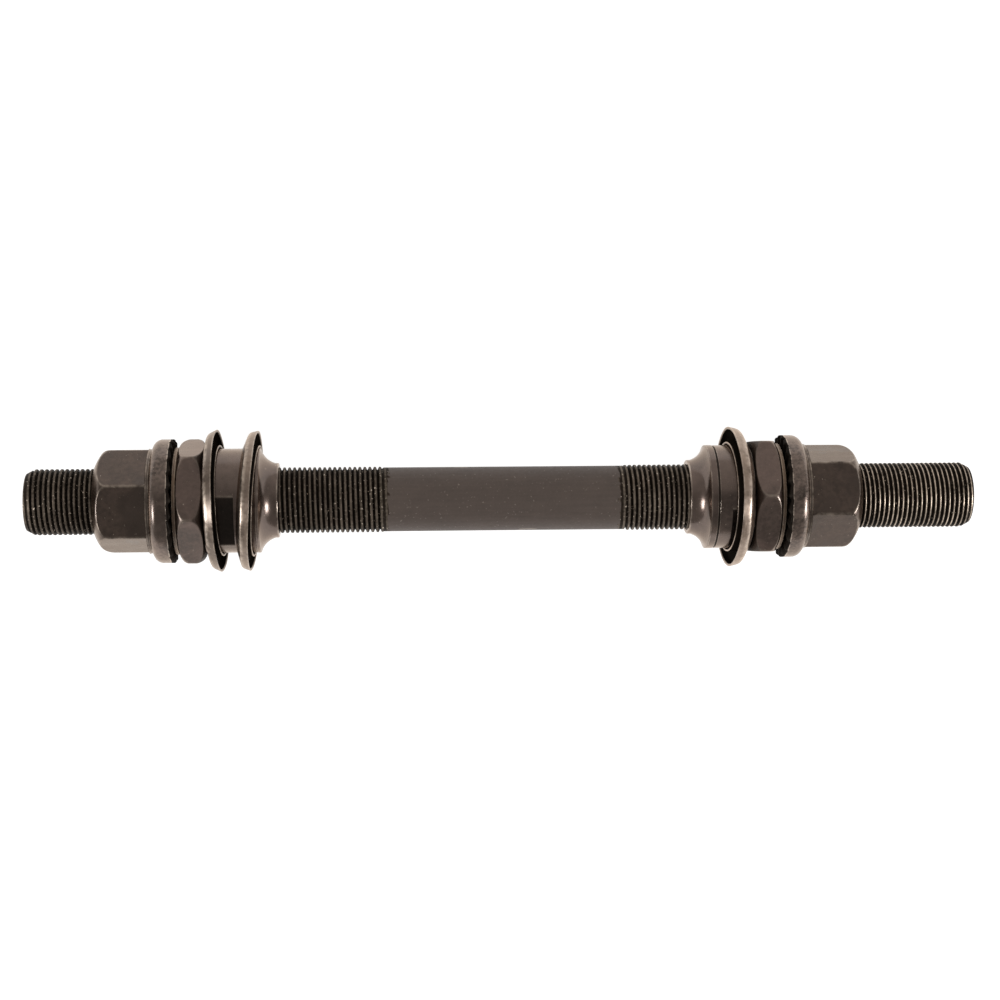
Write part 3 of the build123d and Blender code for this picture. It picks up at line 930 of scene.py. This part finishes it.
class HUBAXLE_OT_dust_caps(bpy.types.Operator):
    """Build the three pressed dust caps"""
    bl_idname = "hub_axle.dust_caps"
    bl_label = "Dust caps"

    def execute(self, context):
        self.cap("left_outer_dust_cap", steel("dark_cap_steel", "cap", 0.62), CapForm(
            web=span("left_cone")[1] - 0.55 * MM, bore=11.3 * MM, depth=2.25 * MM,
            shoulder_depth=0.45 * MM, shoulder_height=2.9 * MM, rim_height=3.75 * MM,
            nod=-1.6, swing=-2.8))
        self.cap("left_inner_dust_cap", steel("cap_steel", "cap"), CapForm(
            web=span("left_cone")[0] + 7.85 * MM, bore=11.35 * MM, depth=2.75 * MM,
            shoulder_depth=1.0 * MM, shoulder_height=3.0 * MM, rim_height=3.5 * MM,
            nod=3.5, swing=-1.8))
        self.cap("right_dust_cap", steel("pale_cap_steel", "cap", 1.3), CapForm(
            web=span("right_cone")[1] - 0.75 * MM, bore=11.3 * MM, depth=3.35 * MM,
            shoulder_depth=1.5 * MM, shoulder_height=3.2 * MM, rim_height=3.65 * MM,
            nod=0.0, swing=3.0))
        return {"FINISHED"}

    def cap(self, node, material, form):
        """One cap: thin collar, sloping web and flared band, tipped on the cone."""
        sizes = bpy.context.scene.hub_axle.cap
        side = side_of(node)
        top = (form.depth + sizes.collar_reach) / 2
        seat = form.web - top
        foot = seat - top
        fold = form.bore + sizes.collar_sheet
        shoulder = form.bore + form.shoulder_height
        rim = form.bore + form.rim_height
        shoulder_place = form.web - form.shoulder_depth
        mouth = form.web - form.depth
        corners = [
            # Painted shade and dirt: the inside of the band and web, from just within the mouth to
            # the collar, is darkened to black; the collar's corners get lighter painted shade.
            Corner(foot, form.bore, SHEET_EDGE, soot=0.3),
            Corner(form.web, form.bore, BROAD, soot=0.5),
            Corner(form.web, fold, FOLD_BEND),
            Corner(shoulder_place, shoulder, CAP_BEND),
            Corner(mouth, rim, SHEET_EDGE),
            Corner(mouth, rim - sizes.sheet, FINE, soot=0.2),
            Corner(mouth + DARK_FROM, rim - sizes.sheet - BESIDE, soot=1.0),
            Corner(shoulder_place - sizes.sheet, shoulder - sizes.sheet, BROAD, soot=1.0),
            Corner(form.web - sizes.sheet, fold, FINE, soot=1.0),
            Corner(foot + DARK_FROM, fold, soot=1.0),
            Corner(foot, fold, SHEET_EDGE),
        ]

        def shift(turn, row):
            reach = max(form.web - row.place, 0.0) / form.depth
            start = form.web / MM
            bent = (0.5 * sin(2 * turn + 10 * start) + 0.3 * sin(3 * turn + start)
                    + 0.2 * sin(7 * turn))
            return sizes.wave * bent * reach * (1.0 if row.radius > fold else 0.2)

        turns = even_turns(CAP_TURNS)
        mesh = ring_mesh(f"{node}_dressed", side, rounded(corners), turns, shift=shift)
        centre = Matrix.Translation((side * seat, 0, 0))
        swung = Matrix.Rotation(radians(form.swing), 4, "Y")
        lean = swung @ Matrix.Rotation(radians(-form.nod), 4, "Z")
        mesh.transform(centre @ lean @ centre.inverted())
        place_piece(mesh, node, material, "left_caps" if side < 0 else "right_cap")


class HUBAXLE_OT_locknuts(bpy.types.Operator):
    """Build the two wide locknuts"""
    bl_idname = "hub_axle.locknuts"
    bl_label = "Locknuts"

    def execute(self, context):
        sizes = context.scene.hub_axle.locknut
        material = steel("locknut_steel", "locknut")
        corner = sizes.across_flats / sqrt(3)
        low = corner - sizes.round_height
        steps = 16
        for word in SIDES:
            face, outer = span(f"{word}_locknut")
            shaded = bow((face, low), (face + sizes.round_length, corner), sizes.round_bend, steps,
                         cut=True)
            corners = [
                # Painted shade: the bore corners are darkened, and the inner rounding that faces
                # the cone is painted dark, fading outward, as a reflection of the dark cap beside
                # it.
                Corner(face, sizes.bore_radius, BROAD, soot=0.5),
                *[point._replace(soot=0.9 - 0.5 * step / steps)
                  for step, point in enumerate(shaded)],
                *bow((outer - sizes.round_length, corner), (outer, low), sizes.round_bend, steps,
                     cut=True),
                Corner(outer, sizes.bore_radius, BROAD, soot=0.5),
            ]
            add_hexagon(f"{word}_locknut", corners, sizes, material)
        return {"FINISHED"}


class HUBAXLE_OT_thin_washers(bpy.types.Operator):
    """Build the two thin washers"""
    bl_idname = "hub_axle.thin_washers"
    bl_label = "Thin washers"

    def execute(self, context):
        sizes = context.scene.hub_axle.washer
        material = steel("thin_washer_steel", "ring")
        bore = sizes.thin_bore_radius
        for word in SIDES:
            node = f"{word}_thin_washer"
            face, outer = span(node)
            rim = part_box(node)[1][2]
            corners = [Corner(face, bore, FINE), Corner(face, rim, THIN_EDGE),
                       Corner(outer, rim, THIN_EDGE), Corner(outer, bore, FINE)]
            add_ring(node, corners, even_turns(THIN_TURNS), material)
        return {"FINISHED"}


class HUBAXLE_OT_serrated_washers(bpy.types.Operator):
    """Build the two serrated washers"""
    bl_idname = "hub_axle.serrated_washers"
    bl_label = "Serrated washers"

    def execute(self, context):
        sizes = context.scene.hub_axle.washer
        material = steel("washer_steel", "washer")
        tree = serration_tree()
        for word, side in SIDES.items():
            node = f"{word}_serrated_washer"
            face, outer = span(node)
            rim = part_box(node)[1][2]
            turns = even_turns(TURNS_PER_TOOTH * sizes.tooth_count)
            base = ring_mesh(node, side, rounded(self.section(sizes, face, outer, rim)), turns)
            mesh = evaluated_mesh(node + "_carrier", base, tree, {
                "Count": sizes.tooth_count, "Depth": sizes.tooth_depth, "Lean": sizes.tooth_lean,
                "Land": TOOTH_LAND, "Side": float(side), "Face": face,
                "Rim": sizes.rim_bend, "Fade": TOOTH_FADE, "Material": material,
            })
            place_piece(mesh, node, material)
        return {"FINISHED"}

    def section(self, sizes, face, outer, rim):
        """Corners of a washer's section: toothed face and recess painted dark as shade, a row with
        a painted highlight, and rounded shoulder.
        """
        floor_place = face + sizes.recess_depth
        flat_rim = rim - sizes.rim_bend
        ribs = [Corner(face, sizes.recess_radius + (flat_rim - sizes.recess_radius) * step / 5)
                for step in range(5)]
        ribs += bow((face, flat_rim), (face + sizes.rim_bend, rim), sizes.rim_bend, 4)
        return [
            # Painted shade: the toothed face and the band just behind it are darkened almost to
            # black
            *[corner._replace(soot=0.96) for corner in ribs],
            Corner(face + DARK_WIDTH, rim, soot=0.95),
            # Painted highlight: this rounded row is marked worn, which draws a bright stripe along
            # the rim beside the teeth
            Corner(face + BRIGHT_FROM, rim - BRIGHT_DIP, RING_EDGE),
            Corner(face + SHOULDER_FROM, rim),
            *bow((outer - sizes.shoulder_bend, rim), (outer, rim - sizes.shoulder_bend),
                 sizes.shoulder_bend, 12),
            Corner(outer, sizes.bore_radius, FINE),
            # Painted shade on the recess floor
            Corner(floor_place, sizes.bore_radius, BESIDE, soot=1.0),
            Corner(floor_place, sizes.recess_radius, BESIDE, soot=1.0),
        ]


class HUBAXLE_OT_axle_nuts(bpy.types.Operator):
    """Build the two domed axle nuts"""
    bl_idname = "hub_axle.axle_nuts"
    bl_label = "Axle nuts"

    def execute(self, context):
        sizes = context.scene.hub_axle.nut
        material = steel("nut_steel", "nut")
        corner = sizes.across_flats / sqrt(3)
        crown_foot = corner - sizes.dome_height
        for word in SIDES:
            inner, outer = span(f"{word}_axle_nut")
            lip_end = inner + sizes.lip_thickness
            face = inner + sizes.neck_length
            collar_end = face + sizes.collar_thickness
            dome_start = outer - sizes.dome_length
            crown = (outer - sizes.crown_length, crown_foot + sizes.crown_height)
            corners = [
                Corner(inner, sizes.bore_radius, BROAD),
                Corner(inner, sizes.lip_radius, FINE),
                Corner(lip_end, sizes.lip_radius, FINE),
                Corner(lip_end, sizes.neck_radius),
                Corner(face, sizes.neck_radius),
                Corner(face, sizes.collar_radius, SOFT),
                Corner(collar_end, sizes.collar_radius, FOLD_BEND),
                Corner(collar_end, corner, cut=True),
                Corner(dome_start - BROAD, corner, cut=True),
                *bow((dome_start, corner), crown, sizes.dome_bend, 24, cut=True),
                *bow(crown, (outer, crown_foot), sizes.crown_bend, 6, cut=True)[1:],
                Corner(outer, sizes.bore_radius, FINE),
            ]
            add_hexagon(f"{word}_axle_nut", corners, sizes, material)
        return {"FINISHED"}


class HUBAXLE_OT_stage(bpy.types.Operator):
    """Set the floor, the light and the camera"""
    bl_idname = "hub_axle.stage"
    bl_label = "Stage"

    def execute(self, context):
        self.floor(context)
        self.world(context)
        for name, place, power in LAMPS:
            self.lamp(name, place, power)
        self.camera(context)
        context.scene.view_settings.view_transform = "Standard"
        return {"FINISHED"}

    def floor(self, context):
        """Pale floor under the axle, white to the camera and in reflections."""
        reach = context.scene.hub_axle.stage.floor_reach
        level = cad_box[0][2] - FLOOR_GAP
        mesh = bpy.data.meshes.new("floor")
        corners = [(-reach, -reach, level), (reach, -reach, level),
                   (reach, reach, level), (-reach, reach, level)]
        mesh.from_pydata(corners, [], [(0, 1, 2, 3)])
        mesh.materials.append(self.floor_material())
        ground = bpy.data.objects.new("floor", mesh)
        context.scene.collection.objects.link(ground)

    def floor_material(self):
        """White where the camera or a reflection sees it, with the object's faint shadow."""
        material = bpy.data.materials.new("pale_floor")
        material.use_nodes = True
        tree = material.node_tree
        fill(tree.nodes["Principled BSDF"], {
            "Base Color": FLOOR_GREY, "Roughness": 1.0, "Specular IOR Level": 0.0,
            "Emission Color": WHITE, "Emission Strength": seen_directly(tree) * FLOOR_GLOW,
        })
        return material

    def world(self, context):
        """Surroundings: white to the camera, duller for the piece, dullest on the near side."""
        world = bpy.data.worlds.new("studio")
        world.use_nodes = True
        context.scene.world = world
        tree = world.node_tree
        camera = Term(tree, added(tree, "ShaderNodeLightPath").outputs["Is Camera Ray"])
        tint = added(tree, "ShaderNodeMix", {0: camera, 6: WARM_LIGHT, 7: WHITE}, data_type="RGBA")
        _, across, _ = parts_of(tree, added(tree, "ShaderNodeTexCoord").outputs["Generated"])
        far_side = across.worked("MAXIMUM", 0.0) * FAR_LIGHT
        near_side = (across * -1).worked("MAXIMUM", 0.0) * NEAR_LIGHT
        strength = (far_side + near_side + ROUND_LIGHT).worked("MAXIMUM", camera)
        fill(tree.nodes["Background"], {"Color": tint.outputs[2], "Strength": strength})

    def lamp(self, name, place, power):
        """Soft square lamp aimed at the middle of the axle."""
        light = bpy.data.lights.new(name, "AREA")
        light.size = LAMP_SIZE
        light.energy = power
        lamp = bpy.data.objects.new(name, light)
        lamp.location = place
        lamp.rotation_euler = (Vector() - Vector(place)).to_track_quat("-Z", "Y").to_euler()
        bpy.context.scene.collection.objects.link(lamp)

    def camera(self, context):
        """Camera above the axle, looking down on it as the photo does."""
        sizes = context.scene.hub_axle.stage
        view = bpy.data.cameras.new("camera")
        view.lens = sizes.lens
        view.clip_start = 0.01
        camera = bpy.data.objects.new("camera", view)
        eye = Vector((sizes.camera_offset, 0, sizes.camera_distance))
        aim = Vector((sizes.aim_along, sizes.aim_across, 0)) - eye
        forward = aim.normalized()
        right = forward.cross(Vector((0, 1, 0))).normalized()
        upward = right.cross(forward)
        turned = Matrix((right, upward, -forward)).transposed().to_4x4()
        rolled = turned @ Matrix.Rotation(sizes.roll, 4, "Z")
        camera.matrix_world = Matrix.Translation(eye) @ rolled
        context.scene.collection.objects.link(camera)
        context.scene.camera = camera


class HUBAXLE_PT_panel(bpy.types.Panel):
    """Sidebar list of the hub axle's builders"""
    bl_idname = "HUBAXLE_PT_panel"
    bl_label = "Hub axle"
    bl_space_type = "VIEW_3D"
    bl_region_type = "UI"
    bl_category = "Hub axle"

    def draw(self, context):
        for operator in OPERATORS:
            self.layout.operator(operator.bl_idname)


OPERATORS = (HUBAXLE_OT_axle, HUBAXLE_OT_cones, HUBAXLE_OT_dust_caps, HUBAXLE_OT_locknuts,
             HUBAXLE_OT_thin_washers, HUBAXLE_OT_serrated_washers, HUBAXLE_OT_axle_nuts,
             HUBAXLE_OT_stage)
CLASSES = (AxleSizes, ConeSizes, CapSizes, LocknutSizes, WasherSizes, NutSizes, Finishes,
           StageSizes, HubAxleSettings, *OPERATORS, HUBAXLE_PT_panel)


def register():
    """Add the classes and their settings to Blender."""
    for item in CLASSES:
        bpy.utils.register_class(item)
    bpy.types.Scene.hub_axle = bpy.props.PointerProperty(type=HubAxleSettings)


def unregister():
    """Take the classes and their settings out of Blender."""
    del bpy.types.Scene.hub_axle
    for item in reversed(CLASSES):
        bpy.utils.unregister_class(item)


def main():
    """Build every piece and the stage."""
    register()
    bpy.ops.hub_axle.axle()
    bpy.ops.hub_axle.cones()
    bpy.ops.hub_axle.dust_caps()
    bpy.ops.hub_axle.locknuts()
    bpy.ops.hub_axle.thin_washers()
    bpy.ops.hub_axle.serrated_washers()
    bpy.ops.hub_axle.axle_nuts()
    bpy.ops.hub_axle.stage()


if __name__ == "__main__":
    main()
